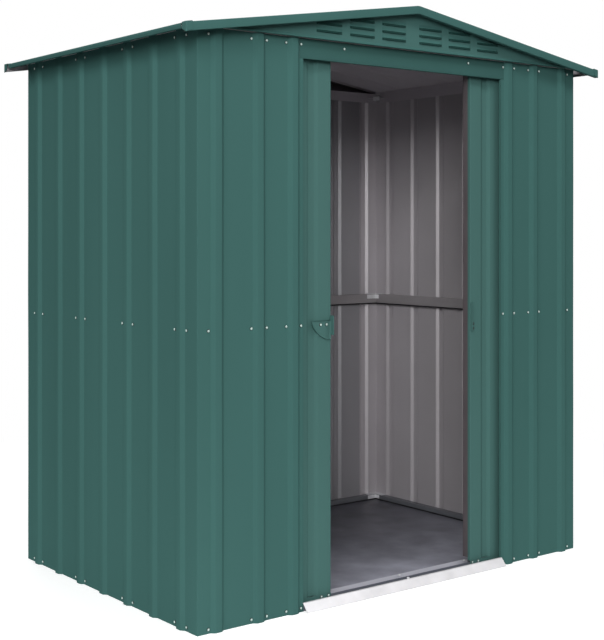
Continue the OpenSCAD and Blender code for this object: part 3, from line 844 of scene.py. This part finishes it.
def screw(place, normal):
    """Dome head on a washer: a square grid, its rings drawn out to circles, raised by radius."""
    lines = np.concatenate([-np.array(RINGS)[::-1], RINGS])
    u, v = np.meshgrid(lines, lines, indexing="ij")
    ring = np.maximum(np.abs(u), np.abs(v))
    x = u * np.sqrt(1 - v * v / 2)
    y = v * np.sqrt(1 - u * u / 2)
    shrink = ring / np.hypot(x, y)
    rise = np.interp(ring, (0, *RINGS), (CROWN_RISE, *RING_RISE))
    normal = np.array(normal, float)
    side = np.cross(normal, (0, 1, 0) if abs(normal[2]) > FACING_UP else (0, 0, 1))
    other = np.cross(normal, side)
    flat = np.array(place) + HEAD_RADIUS * ((x * shrink)[..., None] * side
                                            + (y * shrink)[..., None] * other)
    points, faces, tags = shell(flat + rise[..., None] * normal, flat - HEAD_SEAT * normal)
    cells = len(lines) - 1
    washer = np.ones((cells, cells), int)
    washer[1:-1, 1:-1] = 0
    tags[:washer.size] = washer.ravel()
    return points, faces, np.minimum(tags, 1)


def screws(name, places, body="shed", finishes=(head_paint, washer_rubber)):
    """Screws at (place, normal) pairs, as one piece, with finishes for head and washer."""
    piece(name, joined([screw(*place) for place in places]), finishes, body, sharp=60)


# Wall screws: their heights, their places along the front, and those at some of the ribs
# of the side and back walls
LEVELS = (0.014, 0.958, 1.899)
FRONT_X = (0.859, 0.692, 0.630, 0.550)
JAMB_X = 0.488
HEADER_X = 0.300
BESIDE_RIB = 0.035
rib_sides = BESIDE_RIB * np.array([-1, 1])
side_y = (side_ribs[[0, 2, 4, 6], None] + rib_sides).ravel()
back_x = (back_ribs[[0, 3, 5, 7, 10], None] + rib_sides).ravel()
FORWARD = (0, -1, 0)
BACKWARD = (0, 1, 0)
UPWARD = (0, 0, 1)
wall_screws = [((turn * x, -half_d, z), FORWARD)
               for x in FRONT_X for z in LEVELS for turn in (-1, 1)]
wall_screws += [((turn * JAMB_X, -half_d - (SHEET if z > header_low.z else 0), z), FORWARD)
                for z in LEVELS for turn in (-1, 1)]
wall_screws += [((turn * HEADER_X, header_low.y, LEVELS[2]), FORWARD) for turn in (-1, 1)]
wall_screws += [((turn * half_w, y, z), (turn, 0, 0))
                for y in side_y for z in LEVELS for turn in (-1, 1)]
wall_screws += [((x, half_d, z), BACKWARD) for x in back_x for z in LEVELS]
screws("wall_screws", wall_screws)

# Roof screws stand on the ribs, in one row near the ridge cap and one near the eaves
ROOF_SCREW_X = (0.13, roof_half - 0.06)
roof_screws = [((turn * x, y, float(roof_z(x, SHEET + ROOF_RIB_RISE))),
                (turn * math.sin(PITCH), 0, math.cos(PITCH)))
               for x in ROOF_SCREW_X for y in roof_ribs for turn in (-1, 1)]
screws("roof_screws", roof_screws)

# Door screws stand at the foot of each door and on its pull
DOOR_FOOT_X = (0.349, 0.380)
DOOR_FOOT_Z = 0.027
LEFT_PULL_X = (-0.385, -0.359)
LEFT_PULL_Z = 0.955
RIGHT_PULL_X = 0.352
RIGHT_PULL_Z = (0.925, 0.908)
TRACK_SCREWS = ((0.010, -0.540), (0.010, -0.588), (0.342, -0.540), (-0.342, -0.540))
pull_face = face_y - PULL_PLATE
track_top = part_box("threshold_track")[1].z
screws("right_door_screws", [((x, face_y, DOOR_FOOT_Z), FORWARD) for x in DOOR_FOOT_X],
       "right_door")
screws("left_door_screws",
       [((-x, face_y, DOOR_FOOT_Z), FORWARD) for x in DOOR_FOOT_X]
       + [((x, pull_face, LEFT_PULL_Z), FORWARD) for x in LEFT_PULL_X], "left_door")
screws("threshold_screws", [((x, y, track_top), UPWARD) for x, y in TRACK_SCREWS],
       finishes=(bright_zinc, bright_zinc))
screws("right_pull_screws", [((RIGHT_PULL_X, pull_face, z), FORWARD) for z in RIGHT_PULL_Z],
       "right_door", (washer_rubber, washer_rubber))


# ---------------------------------------------------------------- other nodes

refinish(["top_rail_left", "top_rail_right", "top_rail_back"], roof_inner)
refinish(["threshold_track"], track_painted_shade)
refinish(["door_head_rail"], galvanised)
refinish(["ramp"], ramp_steel)
refinish(["floor_panel"], floor_steel)
refinish(["corner_plates"], bright_zinc)
refinish(["front_gable"], front_paint)
refinish(["back_gable"], back_paint)
refinish(["right_door_pull"], door_lit_green)
refinish(["left_door_runners", "right_door_runners"], nylon)


# ---------------------------------------------------------------- stage, light and camera

# The floor's half size and shade, its lift where it is seen, and the distances from the middle
# over which it runs to plain white
FLOOR_HALF = 40
FLOOR_SHADE = (0.82, 0.82, 0.82, 1)
FLOOR_LIFT = 0.46
FLOOR_NEAR = 1.6
FLOOR_FAR = 3.2

# Strength of the world's own light, and the lamps: name, place, target, side and power
WORLD_LIGHT = 0.42
LAMPS = (("front", (-4.0, -4.8, 3.2), (0, 0, 1.0), 2.0, 197),
         ("high", (-5.2, -3.0, 5.4), (0, 0, 1.0), 1.6, 110),
         ("key", (2.2, -3.6, 5.4), (0, -0.3, 1.0), 1.6, 92),
         ("side", (-5.5, -1.0, 2.5), (-0.9, 0, 1.0), 2.0, 15),
         ("back", (1.5, 6.0, 3.4), (0, 0, 1.0), 3.5, 110))

# The camera stands level, and looks along this direction in plan
CAMERA_PLACE = (-3.0826, -3.9376, 1.279)
CAMERA_LOOK = (0.6145, 0.7889)
CAMERA_LENS = 71.12
CAMERA_SENSOR = 36
CAMERA_SHIFT = -0.1411


def seen_rays(tree):
    """1 for rays that show the stage: seen straight, in a reflection or through glass."""
    path = tree.nodes.new("ShaderNodeLightPath")
    total = path.outputs["Is Camera Ray"]
    for output in ("Is Glossy Ray", "Is Transmission Ray"):
        step = tree.nodes.new("ShaderNodeMath")
        step.operation = "MAXIMUM"
        tree.links.new(total, step.inputs[0])
        tree.links.new(path.outputs[output], step.inputs[1])
        total = step.outputs[0]
    return total


def stage_finish():
    """Pale finish that takes the shed's shadow near it, and is plain white far from it."""
    pale, tree, shader = material("stage_pale")
    tree.nodes.remove(shader)
    seen = seen_rays(tree)
    diffuse = tree.nodes.new("ShaderNodeBsdfDiffuse")
    diffuse.inputs["Color"].default_value = FLOOR_SHADE
    lift = tree.nodes.new("ShaderNodeMath")
    lift.operation = "MULTIPLY"
    lift.inputs[1].default_value = FLOOR_LIFT
    glow = tree.nodes.new("ShaderNodeEmission")
    near = tree.nodes.new("ShaderNodeAddShader")
    far = tree.nodes.new("ShaderNodeEmission")
    where = tree.nodes.new("ShaderNodeTexCoord")
    distance = tree.nodes.new("ShaderNodeVectorMath")
    distance.operation = "LENGTH"
    blend = tree.nodes.new("ShaderNodeMapRange")
    blend.inputs["From Min"].default_value = FLOOR_NEAR
    blend.inputs["From Max"].default_value = FLOOR_FAR
    both = tree.nodes.new("ShaderNodeMixShader")
    surface = tree.nodes["Material Output"].inputs["Surface"]
    for source, target in ((seen, lift.inputs[0]),
                           (lift.outputs[0], glow.inputs["Strength"]),
                           (diffuse.outputs[0], near.inputs[0]),
                           (glow.outputs[0], near.inputs[1]),
                           (seen, far.inputs["Strength"]),
                           (where.outputs["Object"], distance.inputs[0]),
                           (distance.outputs["Value"], blend.inputs["Value"]),
                           (blend.outputs["Result"], both.inputs["Fac"]),
                           (near.outputs[0], both.inputs[1]),
                           (far.outputs[0], both.inputs[2]),
                           (both.outputs[0], surface)):
        tree.links.new(source, target)
    return pale


def stage_floor():
    """Wide pale floor, shaded near the shed and white far from it."""
    corners = [(x * FLOOR_HALF, y * FLOOR_HALF, 0) for x, y in ((-1, -1), (1, -1), (1, 1), (-1, 1))]
    mesh = bpy.data.meshes.new("stage_floor")
    mesh.from_pydata(corners, [], [(0, 1, 2, 3)])
    mesh.materials.append(stage_finish())
    made = bpy.data.objects.new("stage_floor", mesh)
    bpy.context.scene.collection.objects.link(made)


def white_world():
    """Even studio light, and plain white where the world itself is seen."""
    world = bpy.data.worlds.new("studio")
    bpy.context.scene.world = world
    world.use_nodes = True
    tree = world.node_tree
    background = tree.nodes["Background"]
    background.inputs["Color"].default_value = (1, 1, 1, 1)
    blend = tree.nodes.new("ShaderNodeMapRange")
    blend.inputs["To Min"].default_value = WORLD_LIGHT
    tree.links.new(seen_rays(tree), blend.inputs["Value"])
    tree.links.new(blend.outputs["Result"], background.inputs["Strength"])


def lamp(name, place, target, size, power):
    """Square soft light that faces a target."""
    light = bpy.data.lights.new(name, "AREA")
    light.size = size
    light.energy = power
    made = bpy.data.objects.new(name, light)
    bpy.context.scene.collection.objects.link(made)
    made.location = place
    x, y, z = np.subtract(target, place)
    made.rotation_euler = (math.atan2(math.hypot(x, y), -z), 0, math.atan2(y, x) - math.pi / 2)


def camera():
    """Level camera to the front left of the shed."""
    lens = bpy.data.cameras.new("camera")
    lens.lens = CAMERA_LENS
    lens.sensor_width = CAMERA_SENSOR
    lens.shift_y = CAMERA_SHIFT
    made = bpy.data.objects.new("camera", lens)
    bpy.context.scene.collection.objects.link(made)
    made.location = CAMERA_PLACE
    made.rotation_euler = (math.pi / 2, 0, math.atan2(CAMERA_LOOK[1], CAMERA_LOOK[0]) - math.pi / 2)
    bpy.context.scene.camera = made


stage_floor()
white_world()
for row in LAMPS:
    lamp(*row)
camera()
bpy.context.scene.view_settings.view_transform = "Standard"
